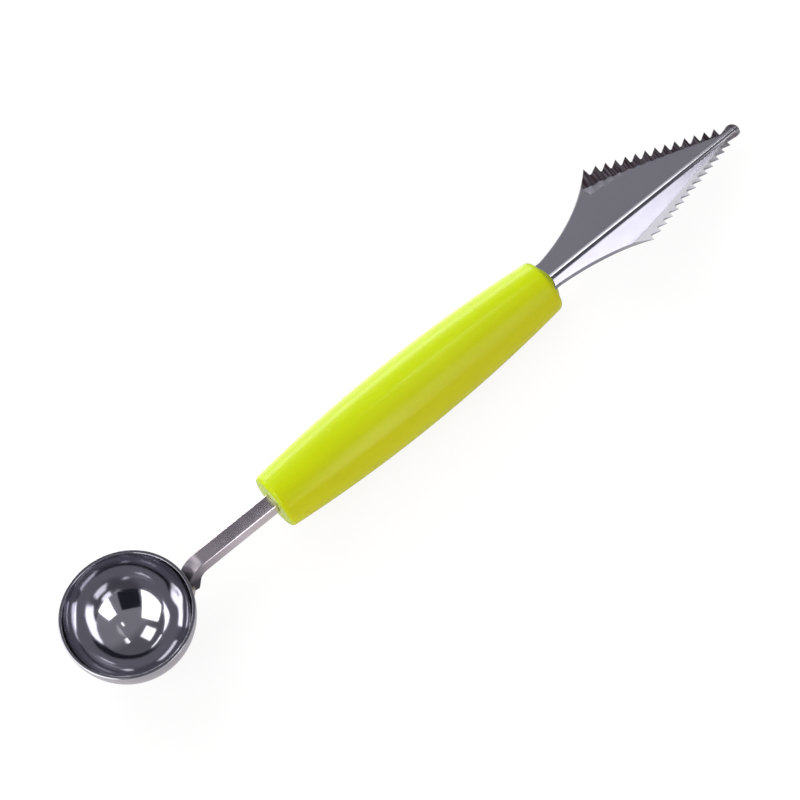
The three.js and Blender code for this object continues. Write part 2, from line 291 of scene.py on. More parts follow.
def barrel_arc():
    """Radius of the arc along the handle: it drops by the taper between the belly and the scoop end."""
    h, *_ = sizes()
    reach = h.size / 2 - h.belly_offset
    return (reach ** 2 + h.end_taper ** 2) / (2 * h.end_taper)


def barrel_radius(x):
    """Handle's radius at places along its axis, on that arc."""
    h, *_ = sizes()
    return h.belly_radius - barrel_arc() + np.sqrt(barrel_arc() ** 2 - (x + h.belly_offset) ** 2)


def dome_top():
    """Top of the handle's domed end."""
    h, *_ = sizes()
    return h.size / 2 + h.dome


def bowl_x():
    """Middle of the bowl."""
    h, s, _ = sizes()
    return -h.size / 2 - s.stem_length - s.inner_radius - s.wall


def tip_x():
    """Tip of the blade."""
    *_, b = sizes()
    return dome_top() + b.reach


def quadratic(start, control, end, steps):
    """Points of a quadratic curve: its ends and control, weighted by (1-t)^2, t^2 and 2t(1-t)."""
    t = np.linspace(0, 1, steps)[:, None]
    return (1 - t) ** 2 * np.array(start) + 2 * t * (1 - t) * np.array(control) + t ** 2 * np.array(end)


# Handle

def socket_outline(turn):
    """Mouth of the stem's socket, as points across the axis: a rectangle in polar form, whose radius is the
    smaller of half-width over cosine and half-height over sine."""
    h, s, _ = sizes()
    wide = s.bar_width / 2 + h.gap
    high = s.bar_height / 2 - s.tang_step + h.gap
    circle = np.stack([np.cos(turn), np.sin(turn)], axis=-1)
    tiny = 1e-9  # keeps the division off zero
    reach = np.array([wide, high]) / np.maximum(np.abs(circle), tiny)
    return circle * reach.min(axis=-1, keepdims=True)


def slot_outline(turn, steps=401):
    """Mouth of the blade's slot, as points across the axis: the folded sheet's outline with the seat's gap
    all round, read off as a distance from the middle of the fold in each direction."""
    h, _, b = sizes()
    across = np.linspace(-1, 1, steps) * unfolded(b.neck + h.gap)
    upper = fold_sheet(0, across, -h.gap)[:, 1:]
    lower = fold_sheet(0, across, b.sheet + h.gap)[:, 1:]
    centre = fold_sheet(0, np.zeros(1), b.sheet / 2)[0, 1:]
    away = np.concatenate([upper, lower]) - centre
    reach = np.interp(turn, np.arctan2(away[:, 1], away[:, 0]), np.hypot(*away.T), period=2 * math.pi)
    return centre + reach[:, None] * np.stack([np.cos(turn), np.sin(turn)], axis=-1)


def handle_points(around=288, flat_rows=6, edge_rows=10, barrel_rows=90, dome_rows=14):
    """Handle: a profile turned about the axis. From the socket's floor it runs out of the socket, over the
    flat end, round its edge, along the barrel's arc, round the other edge, over the dome (a parabola) and
    into the blade's slot. Over the two ends the round section is blended into the outline of the opening."""
    h, s, b = sizes()
    turn = np.linspace(0, 2 * math.pi, around, endpoint=False)
    circle = np.stack([np.cos(turn), np.sin(turn)], axis=-1)
    socket, slot = socket_outline(turn), slot_outline(turn)
    flat, blade_end = -h.size / 2, h.size / 2
    start, end = flat + h.scoop_bevel, blade_end - h.blade_bevel
    rim = barrel_radius(flat)
    dome_radius = barrel_radius(blade_end) - h.blade_bevel

    def row(x, section):
        return np.concatenate([np.broadcast_to(x, (around,))[:, None], section], axis=-1)

    def dome(section):
        return blade_end + h.dome * (1 - (np.linalg.norm(section, axis=-1) / dome_radius) ** 2)

    floor_x = flat + s.tang + h.gap
    rows = [row(floor_x, socket * 0), row(floor_x, socket), row(flat, socket)]
    inner = circle * (rim - h.scoop_bevel)
    rows += [row(flat, socket + (inner - socket) * t) for t in np.linspace(0, 1, flat_rows)[1:]]
    first_edge = quadratic((flat, rim - h.scoop_bevel), (flat, rim), (start, barrel_radius(start)), edge_rows)
    barrel_x = np.linspace(start, end, barrel_rows)
    barrel = np.stack([barrel_x, barrel_radius(barrel_x)], axis=-1)
    last_edge = quadratic(
        (end, barrel_radius(end)), (blade_end, barrel_radius(blade_end)), (blade_end, dome_radius), edge_rows)
    profile = np.concatenate([first_edge[1:], barrel[1:], last_edge[1:]])
    rows += [row(x, circle * radius) for x, radius in profile]
    outer = circle * dome_radius
    sections = [outer + (slot - outer) * t for t in np.linspace(0, 1, dome_rows)[1:]]
    rows += [row(dome(section), section) for section in sections]
    slot_floor = dome_top() - b.tang - h.gap
    middle = fold_sheet(0, np.zeros(around), b.sheet / 2)[:, 1:]
    rows += [row(slot_floor, slot), row(slot_floor, middle)]
    return np.array(rows)


def lime_plastic():
    """Injection-moulded glossy polypropylene: a deep, slightly translucent lime with a soft shine, the faint
    streaks that the flowing plastic leaves along the handle, and the fine orange peel of the mould."""
    h, *_ = sizes()
    material, tree = new_material("glossy_lime_polypropylene")
    coords = add(tree, "TexCoord").outputs["Object"]
    stretch = add(tree, "Mapping", values={"Scale": (0.25, 1, 1)}, links={"Vector": coords})
    flow = add(tree, "TexNoise", values={"Scale": 1 / (9 * MM), "Detail": 3}, links={"Vector": stretch})
    tint = add(tree, "Mix", COLOURS, {6: solid(h.lime), 7: solid(h.shade)}, {0: flow})
    smudge = add(tree, "TexNoise", values={"Scale": 1 / (6 * MM), "Detail": 4}, links={"Vector": coords})
    gloss = add(tree, "MapRange", values={"To Min": 0.2, "To Max": 0.3}, links={"Value": smudge})
    peel = add(tree, "TexNoise", values={"Scale": 1 / (1.6 * MM), "Detail": 2}, links={"Vector": coords})
    bump = add(tree, "Bump", values={"Strength": 0.12, "Distance": 0.05 * MM}, links={"Height": peel})
    shader = add(
        tree, "BsdfPrincipled",
        values={
            "IOR": 1.49, "Specular IOR Level": 0.22, "Subsurface Weight": 0.25, "Subsurface Scale": 1.5 * MM,
            "Subsurface Radius": (1.0, 0.6, 0.15),
        },
        links={"Base Color": tint.outputs[2], "Roughness": gloss, "Normal": bump},
    )
    add(tree, "OutputMaterial", links={"Surface": shader})
    return material


# Scoop

def bowl_points(around=256, arc_rows=70, corner_rows=7):
    """Bowl: a profile turned about the upright through its middle. The profile runs up the outer quarter arc,
    over the rim's two rounded edges and down the inner quarter arc. Where the stem is welded on, a dimple
    that fades as a bell curve pushes the inner wall towards the middle."""
    _, s, _ = sizes()
    turn = np.linspace(0, 2 * math.pi, around, endpoint=False)
    outer = s.inner_radius + s.wall - s.buffed
    r = s.rim_round
    quarter = np.linspace(0, math.pi / 2, arc_rows)
    corner = np.linspace(0, math.pi / 2, corner_rows)
    arc = np.stack([np.sin(quarter), -np.cos(quarter)], axis=-1)
    up = outer * arc
    up = up[up[:, 1] < -r]
    lip_out = np.stack([outer - r + r * np.cos(corner), -r + r * np.sin(corner)], axis=-1)
    lip_in = np.stack([s.inner_radius + r - r * np.sin(corner), -r + r * np.cos(corner)], axis=-1)
    down = s.inner_radius * arc[::-1]
    down = down[down[:, 1] < -r]
    profile = np.concatenate([up, lip_out, lip_in, down])
    radius, height = profile[:, :1], profile[:, 1:]
    points = np.stack([radius * np.cos(turn), radius * np.sin(turn), height + 0 * turn], axis=-1)
    weld = s.inner_radius * np.array([math.cos(s.dimple_angle), 0, -math.sin(s.dimple_angle)])
    away = np.linalg.norm(points - weld, axis=-1)
    inside = np.arange(len(profile)) >= len(profile) - len(down)
    push = s.dimple_height * np.exp(-(away / s.dimple_radius) ** 2) * inside[:, None]
    points *= 1 - push[..., None] / s.inner_radius
    return points + np.array([bowl_x(), 0, s.rim_height])


def polished_steel():
    """Pressed stainless sheet, buffed to a mirror: sharp reflections that waver a little where the press
    stretched the sheet, and faint rings from the buffing wheel round the bowl's upright. The real rings are
    finer than a tenth of a millimetre, so they are drawn coarser to show at all."""
    _, s, _ = sizes()
    material, tree = new_material("mirror_polished_stainless_sheet")
    coords = add(tree, "TexCoord").outputs["Object"]
    centre = rest(np.array([bowl_x(), 0, s.rim_height]))
    centred = add(tree, "Mapping", values={"Location": -centre}, links={"Vector": coords})
    rings = add(tree, "TexWave", {"wave_type": "RINGS", "rings_direction": "Z"},
                {"Scale": 1 / (9 * MM), "Distortion": 0.6, "Detail": 2}, {"Vector": centred})
    waver = add(tree, "TexNoise", values={"Scale": 1 / (7 * MM), "Detail": 1}, links={"Vector": coords})
    press = add(tree, "Bump", values={"Strength": 0.1, "Distance": 0.2 * MM}, links={"Height": waver})
    buffed = add(tree, "Bump", values={"Strength": 0.02, "Distance": 0.02 * MM},
                 links={"Height": rings.outputs["Fac"], "Normal": press})
    haze = add(tree, "TexNoise", values={"Scale": 1 / (3 * MM), "Detail": 4}, links={"Vector": coords})
    gloss = add(tree, "MapRange", values={"To Min": 0.05, "To Max": 0.12}, links={"Value": haze})
    shader = add(tree, "BsdfPrincipled", values={"Base Color": solid(s.polished), "Metallic": 1},
                 links={"Roughness": gloss, "Normal": buffed})
    add(tree, "OutputMaterial", links={"Surface": shader})
    return material


def bend_places():
    """Middle of the stem's bend, the radius of the bar's middle line round it, and where the straight foot
    starts, measured down along the foot from the level of the bowl's middle."""
    h, s, _ = sizes()
    face = s.inner_radius + s.wall + h.gap
    outside = s.bend_radius + s.bar_height
    z = s.bar_height / 2 - outside
    drop = (s.rim_height - z) * math.sin(s.foot_angle)
    x = bowl_x() + (face + outside - drop) / math.cos(s.foot_angle)
    foot_top = (bowl_x() - x) * math.sin(s.foot_angle) + (s.rim_height - z) * math.cos(s.foot_angle)
    return x, z, s.bend_radius + s.bar_height / 2, foot_top


def rounded_rectangle(wide, high, r, steps=6):
    """Outline of a rectangle with quarter-round corners of radius r, as points (across, up)."""
    corner = np.linspace(0, math.pi / 2, steps)
    turns = (np.arange(4)[:, None] * math.pi / 2 + corner).ravel()
    centres = np.repeat(np.array([[1, 1], [-1, 1], [-1, -1], [1, -1]]), steps, axis=0)
    centres = centres * np.array([wide / 2 - r, high / 2 - r])
    return centres + r * np.stack([np.cos(turns), np.sin(turns)], axis=-1)


def stem_points(bend_rows=28, foot_rows=5):
    """is the same bar with a lower section, and its shoulder stands just clear of the handle. Also, for each
    point, how much painted shade darkens it, standing for the shade where the bar meets the bowl and looking
    like weld heat tint: fully along the foot, and then less and less round the bend."""
    h, s, _ = sizes()
    x, z, radius, _ = bend_places()
    bar = rounded_rectangle(s.bar_width, s.bar_height, s.bar_round)
    tang = rounded_rectangle(s.bar_width, s.bar_height - 2 * s.tang_step, s.bar_round)
    shoulder = -h.size / 2 - h.gap
    turn = np.linspace(math.pi / 2, math.pi - s.foot_angle, bend_rows)
    straight_x = np.array([-h.size / 2 + s.tang, shoulder, shoulder, (shoulder + x) / 2])
    along = np.array([-math.sin(s.foot_angle), -math.cos(s.foot_angle)])
    arc = np.stack([x + radius * np.cos(turn), z + radius * np.sin(turn)], axis=-1)
    foot = arc[-1] + along * np.linspace(0, s.foot_length, foot_rows)[1:, None]
    path = np.concatenate([np.stack([straight_x, 0 * straight_x], axis=-1), arc, foot])
    turns = np.concatenate([np.full(len(straight_x), turn[0]), turn, np.full(len(foot), turn[-1])])
    outward = np.stack([np.cos(turns), np.sin(turns)], axis=-1)
    on_tang = np.arange(len(path)) < 2  # the path's first two places: the tang's end and its shoulder
    sections = np.where(on_tang[:, None, None], tang, bar)
    sideways, up = sections[..., 0], sections[..., 1]
    side = path[:, None, :] + outward[:, None, :] * up[..., None]
    steps = np.linalg.norm(np.diff(path, axis=0), axis=1)
    from_foot = np.concatenate([np.cumsum(steps[::-1])[::-1], [0]])
    # Painted shade: full along the foot, fading round the bend over its reach.
    scorch_and_shade = np.clip(1 - (from_foot - s.foot_length) / s.scorch_shade_reach, 0, 1)
    points = np.stack([side[..., 0], sideways, side[..., 1]], axis=-1)
    return points, np.broadcast_to(scorch_and_shade[:, None], up.shape)


def drawn_steel():
    """Drawn stainless bar, tumbled after bending: a satin grey with fine lines along its length, and a dark
    painted shade over the foot and the end of the bend, where the bar meets the bowl, with the look of weld
    heat tint. The real lines are some hundredths of a millimetre apart, so they are drawn coarser to show at
    all."""
    _, s, _ = sizes()
    material, tree = new_material("satin_drawn_stainless_bar")
    coords = add(tree, "TexCoord").outputs["Object"]
    stretch = add(tree, "Mapping", values={"Scale": (0.04, 1, 1)}, links={"Vector": coords})
    lines = add(tree, "TexNoise", values={"Scale": 1 / (0.35 * MM), "Detail": 3}, links={"Vector": stretch})
    patches = add(tree, "TexNoise", values={"Scale": 1 / (4 * MM), "Detail": 3}, links={"Vector": coords})
    gloss = add(tree, "MapRange", values={"To Min": 0.16, "To Max": 0.26}, links={"Value": patches})
    bump = add(tree, "Bump", values={"Strength": 0.15, "Distance": 0.02 * MM}, links={"Height": lines})
    # Painted shade: the attribute below darkens the foot and the bend's end, standing for the shade where the
    # bar meets the bowl, and dulls their shine.
    scorch_and_shade = add(tree, "Attribute", {"attribute_name": "scorch_and_shade"}).outputs["Fac"]
    tint = add(tree, "Mix", COLOURS, {6: solid(s.drawn), 7: solid(s.scorched_and_shaded)}, {0: scorch_and_shade})
    dulled = add(tree, "Mix", values={3: 0.5}, links={0: scorch_and_shade, 2: gloss})
    shader = add(tree, "BsdfPrincipled", values={"Metallic": 1},
                 links={"Base Color": tint.outputs[2], "Roughness": dulled, "Normal": bump})
    add(tree, "OutputMaterial", links={"Surface": shader})
    return material


def weld_points(side, around=40, steps=60):
    """Weld bead: a circle carried along the foot's side, in the corner between the foot and the bowl. Its
    radius swells in ripples that draw together along it, and closes as a blunt ellipse at both ends."""
    h, s, _ = sizes()
    *_, foot_top = bend_places()
    swell, drift, bluntness = 0.06, 0.15, 6
    t = np.linspace(-1, 1, steps)
    ripple = 1 + swell * np.cos(s.weld_ripples * math.pi * (t + drift * t ** 2))
    radius = s.weld_radius * np.sqrt(np.clip(1 - t ** bluntness, 0, 1)) * ripple
    turn = np.linspace(0, 2 * math.pi, around, endpoint=False)
    out = s.inner_radius + s.wall + h.gap + radius[:, None] * np.cos(turn)
    sideways = s.bar_width / 2 + 2 * h.gap + radius[:, None] * np.sin(turn)
    down = foot_top + s.foot_length / 2 * (1 + t)[:, None] + 0 * out
    cosine, sine = math.cos(s.foot_angle), math.sin(s.foot_angle)
    return np.stack([
        bowl_x() + out * cosine - down * sine,
        side * sideways,
        s.rim_height - out * sine - down * cosine,
    ], axis=-1)


def weld_steel():
    """Weld bead left as it cooled: dull steel with brown heat tint in patches and a fine scaly grain."""
    _, s, _ = sizes()
    material, tree = new_material("heat_tinted_weld_bead")
    coords = add(tree, "TexCoord").outputs["Object"]
    patches = add(tree, "TexNoise", values={"Scale": 1 / (1.5 * MM), "Detail": 3}, links={"Vector": coords})
    tint = add(tree, "Mix", COLOURS, {6: solid(s.drawn), 7: solid(s.heat)}, {0: patches})
    grain = add(tree, "TexNoise", values={"Scale": 1 / (0.25 * MM), "Detail": 3}, links={"Vector": coords})
    bump = add(tree, "Bump", values={"Strength": 0.3, "Distance": 0.05 * MM}, links={"Height": grain})
    gloss = add(tree, "MapRange", values={"To Min": 0.35, "To Max": 0.55}, links={"Value": patches})
    shader = add(tree, "BsdfPrincipled", values={"Metallic": 1},
                 links={"Base Color": tint.outputs[2], "Roughness": gloss, "Normal": bump})
    add(tree, "OutputMaterial", links={"Surface": shader})
    return material


# Blade

def tooth_edge(steps=8):
    """Stations along the toothed edge: their way from the corner, how deep the outline lies below the line of
    the points, and the place of that line's own corner, direction and inward direction. The outline is a
    triangle wave with flat gullets halfway between the points."""
    *_, b = sizes()
    corner = np.array([dome_top() + b.corner_reach, b.width])
    last = np.array([tip_x() - b.tip_length, b.tip_width])
    edge = np.linalg.norm(last - corner)
    along = (last - corner) / edge
    inward = np.array([along[1], -along[0]])
    pitch = (edge - b.corner_tooth) / (b.teeth - 2)
    widths = np.full(b.teeth, pitch)
    widths[0] = b.corner_tooth
    starts = np.concatenate([[0], np.cumsum(widths)[:-1]])
    flat = b.gullet / 2 / widths[:, None]
    ramp = np.linspace(0, 1, steps)
    fraction = np.concatenate([(0.5 - flat) * ramp, 0.5 + flat + (0.5 - flat) * ramp[:-1]], axis=1)
    rise = np.concatenate([ramp, 1 - ramp[:-1]])
    way = starts[:, None] + widths[:, None] * fraction
    depth = b.tooth_depth * np.broadcast_to(rise, way.shape)
    stop = way.size - steps + 2
    return way.ravel()[:stop], depth.ravel()[:stop], corner, along, inward


def blank_half(band_rows=5, wing_rows=9, fold_rows=11, tang_steps=5, back_steps=60, tip_steps=26):
    """Half of the flat blank, from the outline in to the fold, as places along and across over stations by
    rows. The outline runs along the tang, the curved back edge, the teeth and the round tip. The first rows
    follow the outline over the ground slope and the worn patches below it, and the others spread evenly to
    the fold. Also the cut in each row, which falls evenly to nothing across the slope, whether the row is on
    the slope and whether it is on the patches, and for each station how much of the cut it gets, how dark the
    slope is on the right and on the left wing, and how worn the left one is. The slope is flat across a
    tooth, so the cut is deepest at the points. It runs out over the back edge below the corner, and a light
    cut goes on round the tip. In the photograph the left slope is dark all along, and the right one at the
    tip only."""
    *_, b = sizes()
    way, depth, corner, along, inward = tooth_edge()
    share = way / way[-1]
    ground = b.ground_corner + (b.ground_tip - b.ground_corner) * np.sqrt(share)
    ground = ground + b.scallop * (depth / b.tooth_depth) * (1 - share)
    band = np.linspace(0, 1, band_rows)
    fade = np.clip(1 - share / b.worn_reach, 0, 1)

    def beyond(slope, patch):
        return [slope + b.margin, slope + patch + b.margin, slope + patch + 2 * b.margin]

    def lean(distance):
        return b.tooth_lean * np.minimum(distance / b.tooth_depth, 1)

    def on_edge(distance):
        return corner + along * (way - lean(distance))[:, None] + inward * distance[:, None]

    teeth_rows = [on_edge(depth + (ground - depth) * t) for t in band]
    teeth_rows += [on_edge(reach) for reach in beyond(ground, b.worn * fade)]
    tang_x = np.linspace(dome_top() - b.tang, dome_top(), tang_steps, endpoint=False)
    tang = np.stack([tang_x, np.full(tang_steps, b.neck)], axis=-1)
    tang_rows = [tang - np.array([0, b.margin * t]) for t in (*band, 2, 3, 4)]
    bend = (dome_top() + b.back_reach, b.back_width)
    back = quadratic((dome_top(), b.neck), bend, corner, back_steps)[:-1]
    below = (back - corner) @ inward
    slope = np.maximum(b.ground_corner - below, b.margin)

    def on_back(distance):
        shift = lean(below) - lean(below + distance)
        return back + along * shift[:, None] + inward * distance[:, None]

    run_out = np.clip(1 - below / b.ground_corner, 0, 1)
    back_rows = [on_back(slope * t) for t in band]
    back_rows += [on_back(reach) for reach in beyond(slope, b.worn * run_out)]
    turn = np.linspace(b.tip_round, 0, tip_steps)
    lobe = np.array([tip_x() - b.tip_radius, 0])
    tip = b.tip_radius * np.stack([np.cos(turn), np.sin(turn)], axis=-1)
    tip_rows = [lobe + tip * (1 - t / 2) for t in band]
    tip_rows += [lobe + (tip / 2) * (1 - t * b.margin / b.tip_radius) for t in (1, 2, 3)]
    outer = np.stack([np.concatenate(row) for row in zip(tang_rows, back_rows, teeth_rows, tip_rows)], axis=1)
    base = outer[:, -1]
    fold_reach = np.minimum(b.fold_radius / math.tan(b.wing_angle), base[:, 1] / 2)
    wing = np.linspace(1, 0, wing_rows)[1:, None]
    across_wing = fold_reach + (base[:, 1] - fold_reach) * wing
    across_fold = fold_reach * np.linspace(1, 0, fold_rows)[1:, None]
    across_inner = np.concatenate([across_wing, across_fold]).T
    x = np.concatenate([outer[..., 0], np.broadcast_to(base[:, :1], across_inner.shape)], axis=1)
    across = np.concatenate([outer[..., 1], across_inner], axis=1)
    cut = np.zeros(across.shape[1])
    cut[:band_rows] = 1 - band
    row = np.arange(across.shape[1])
    on_slope = row < band_rows
    on_patch = (row >= band_rows) & (row < band_rows + 2)
    round_tip = np.full(tip_steps, b.tip_cut)
    # Partly painted shade: both wings are ground alike, but the dark colour covers the left slope all along
    # and the right one only near the tip.
    shade_run_in = b.tip_cut * np.clip((share - b.shade_run_in) / (1 - b.shade_run_in), 0, 1)
    amount = np.concatenate([np.zeros(tang_steps), run_out, 1 - depth / ground, round_tip])
    dark_left = np.concatenate([np.zeros(tang_steps), run_out, np.ones(len(way)), round_tip])
    dark_right = np.concatenate([np.zeros(tang_steps), 0 * run_out, shade_run_in, round_tip])
    dark = np.minimum(np.stack([dark_right, dark_left])[..., None] / b.full_tint, 1)
    fainter = 0.75  # share by which the patches are fainter below a gullet than below a point
    smudges = fade * (1 - fainter * depth / b.tooth_depth)
    worn = np.concatenate([np.zeros(tang_steps), run_out, smudges, 0 * round_tip])
    return x, across, cut, on_slope, on_patch, amount[:, None], dark, worn[:, None]


def unfolded(across):
    """Width along the sheet, from the fold's middle line, of a width measured from where the inner faces
    would meet: the arc takes the place of its two tangents."""
    *_, b = sizes()
    tangent = b.fold_radius / math.tan(b.wing_angle)
    arc = b.fold_radius * (math.pi / 2 - b.wing_angle)
    return np.where(across > tangent, across - tangent + arc, across * arc / tangent)


def fold_sheet(x, across, depth):
    """Bends the flat blank: across is measured from the fold's middle line and depth from the inner face.
    Near the fold a point lies on an arc round the fold's axis, and further out on the straight wing that
    carries the arc on."""
    *_, b = sizes()
    half = math.pi / 2 - b.wing_angle
    bend = np.clip(across / b.fold_radius, -half, half)
    beyond = across - bend * b.fold_radius
    centre = b.fold_height + b.fold_radius / math.sin(b.wing_angle)
    radius = b.fold_radius + depth
    y = radius * np.sin(bend) + beyond * np.cos(bend)
    z = centre - radius * np.cos(bend) + beyond * np.sin(bend)
    return np.stack([x + 0 * y, y, z], axis=-1)


def blade_points():
    """Blade: each station's loop runs over the inner faces from the right edge to the left one and back
    underneath. The grinding thins the sheet on its inner faces, so the outer faces stay plain. Also, for each
    point, how much of the ground steel's dark colour it shows, which is partly painted shade, and how worn it
    is."""
    *_, b = sizes()
    x, across, cut, on_slope, on_patch, amount, dark, worn = blank_half()
    across = unfolded(across)

    def both(right_half, left_half):
        return np.concatenate([right_half, left_half[:, -2::-1]], axis=1)

    along, sideways = both(x, x), both(-across, across)
    # The grinding fades out over the last half fold radius before the middle line.
    beside_fold = np.minimum(np.abs(sideways) / (b.fold_radius / 2), 1)
    inner = fold_sheet(along, sideways, (b.sheet - b.edge) * beside_fold * both(amount * cut, amount * cut))
    outer = fold_sheet(along, sideways, b.sheet)
    # Partly painted shade: the dark tint of the ground slopes.
    tint = beside_fold * both(*(on_slope * dark))
    patches = both(0 * on_patch * worn, on_patch * worn)
    loop = np.concatenate([inner, outer[:, ::-1]], axis=1)
    return loop, np.concatenate([tint, 0 * tint], axis=1), np.concatenate([patches, 0 * patches], axis=1)


def blade_steel():
    """Stainless strip, brushed along its length and then ground along the teeth: a satin grey with fine lines
    along the blade, on the ground slopes a darker, coarser finish with streaks across the edge, whose dark
    colour is partly painted shade, on the left wing all along and on the right only near the tip, and below
    them some pale, matt patches where the wheel only touched the sheet. The real brush lines are finer than
    a tenth of a millimetre, so they are drawn coarser to show at all."""
    *_, b = sizes()
    material, tree = new_material("brushed_stainless_strip_with_ground_teeth")
    coords = add(tree, "TexCoord").outputs["Object"]
    mask = add(tree, "Attribute", {"attribute_name": "ground"}).outputs["Fac"]
    stretch = add(tree, "Mapping", values={"Scale": (0.03, 1, 1)}, links={"Vector": coords})
    lines = add(tree, "TexNoise", values={"Scale": 1 / (0.3 * MM), "Detail": 3}, links={"Vector": stretch})
    cross = add(tree, "Mapping", values={"Scale": (1, 0.05, 0.05)}, links={"Vector": coords})
    grit = add(tree, "TexNoise", values={"Scale": 1 / (0.3 * MM), "Detail": 2}, links={"Vector": cross})
    height = add(tree, "Mix", links={0: mask, 2: lines, 3: grit})
    bump = add(tree, "Bump", values={"Strength": 0.05, "Distance": 0.02 * MM}, links={"Height": height})
    patches = add(tree, "TexNoise", values={"Scale": 1 / (5 * MM), "Detail": 4}, links={"Vector": coords})
    satin = add(tree, "MapRange", values={"To Min": 0.14, "To Max": 0.2}, links={"Value": patches})
    rough = add(tree, "Mix", values={3: 0.42}, links={0: mask, 2: satin})
    streaks = add(tree, "MapRange", values={"From Min": 0.35, "From Max": 0.6, "To Min": 0.7},
                  links={"Value": grit})
    # Partly painted shade: the ground attribute darkens the slopes towards the ground colour.
    darkened = add(tree, "Math", {"operation": "MULTIPLY"}, links={0: mask, 1: streaks})
    tint = add(tree, "Mix", COLOURS, {6: solid(b.steel), 7: solid(b.ground)}, {0: darkened})
    worn = add(tree, "Attribute", {"attribute_name": "worn"}).outputs["Fac"]
    flecks = add(tree, "TexNoise", values={"Scale": 1 / (1.4 * MM), "Detail": 2}, links={"Vector": coords})
    broken = add(tree, "MapRange", values={"From Min": 0.25, "From Max": 0.6},
                 links={"Value": flecks, "To Max": worn})
    gloss = add(tree, "Mix", values={3: 0.5}, links={0: broken, 2: rough})
    shown = add(tree, "Mix", COLOURS, {7: solid(b.bright)}, {0: broken, 6: tint.outputs[2]})
    shader = add(tree, "BsdfPrincipled", values={"Metallic": 1},
                 links={"Base Color": shown.outputs[2], "Roughness": gloss, "Normal": bump})
    add(tree, "OutputMaterial", links={"Surface": shader})
    return material


# Stage

def camera_axes(azimuth, elevation, roll):
    """Camera's right, up and back directions: a level camera on a sphere round the object, rolled about its
    own line of sight so that the picture turns counter-clockwise."""
    level, high = math.cos(elevation), math.sin(elevation)
    back = Vector((math.sin(azimuth) * level, -math.cos(azimuth) * level, high))
    right = Vector((math.cos(azimuth), math.sin(azimuth), 0))
    turn = Matrix.Rotation(-roll, 3, back)
    return turn @ right, turn @ back.cross(right), back


def set_camera():
    """Camera at the photograph's viewing angle."""
    settings = bpy.context.scene.knife_stage
    data = bpy.data.cameras.new("camera")
    data.lens = settings.lens
    data.clip_start, data.clip_end = 0.01, 20
    camera = bpy.data.objects.new("camera", data)
    right, up, back = camera_axes(settings.azimuth, settings.elevation, settings.roll)
    turn = Matrix((right, up, back)).transposed().to_4x4()
    camera.matrix_world = Matrix.Translation(Vector(settings.aim) + back * settings.distance) @ turn
    bpy.context.collection.objects.link(camera)
    bpy.context.scene.camera = camera


def set_lamp(name, target, direction, distance, size, radiance, upright=(0, 0, 1), spread=180):
    """A soft rectangular lamp that faces a target and doesn't show to the camera. Its size is given across
    and along the upright direction, and its spread is the angle in degrees that its light fans out over. Its
    power is the radiance along its axis times pi times its area, less what the narrower spread saves."""
    half_spread = math.radians(spread / 2)
    data = bpy.data.lights.new(name, "AREA")
    data.shape = "RECTANGLE"
    data.size, data.size_y = size
    data.energy = radiance * math.pi * size[0] * size[1] * (1 - half_spread / math.tan(half_spread))
    data.spread = 2 * half_spread
    lamp = bpy.data.objects.new(name, data)
    back = Vector(direction).normalized()
    right = Vector(upright).cross(back).normalized()
    turn = Matrix((right, back.cross(right), back)).transposed().to_4x4()
    lamp.matrix_world = Matrix.Translation(Vector(target) + back * distance) @ turn
    lamp.visible_camera = False
    bpy.context.collection.objects.link(lamp)
    return lamp


def set_key(name, target, direction, distance, size, radiance, tone):
    """A soft lamp of some colour for the matt surfaces only: it doesn't show in reflections."""
    lamp = set_lamp(name, target, direction, distance, size, radiance)
    lamp.data.color = tone
    lamp.visible_glossy = False


def set_card(name, target, direction, distance, size, tone, strength=1):
    """A card of one even tone that faces a target. It shows in reflections only, and throws no shadow."""
    back = Vector(direction).normalized()
    right = Vector((0, 0, 1)).cross(back).normalized() * size[0] / 2
    up = back.cross(right).normalized() * size[1] / 2
    middle = Vector(target) + back * distance
    mesh = bpy.data.meshes.new(name)
    corners = [middle - right - up, middle + right - up, middle + right + up, middle - right + up]
    mesh.from_pydata(corners, [], [(0, 1, 2, 3)])
    material, tree = new_material(name)
    even = add(tree, "Emission", values={"Color": solid(tone), "Strength": strength})
    add(tree, "OutputMaterial", links={"Surface": even})
    mesh.materials.append(material)
    card = bpy.data.objects.new(name, mesh)
    card.visible_camera = card.visible_diffuse = card.visible_shadow = False
    bpy.context.collection.objects.link(card)


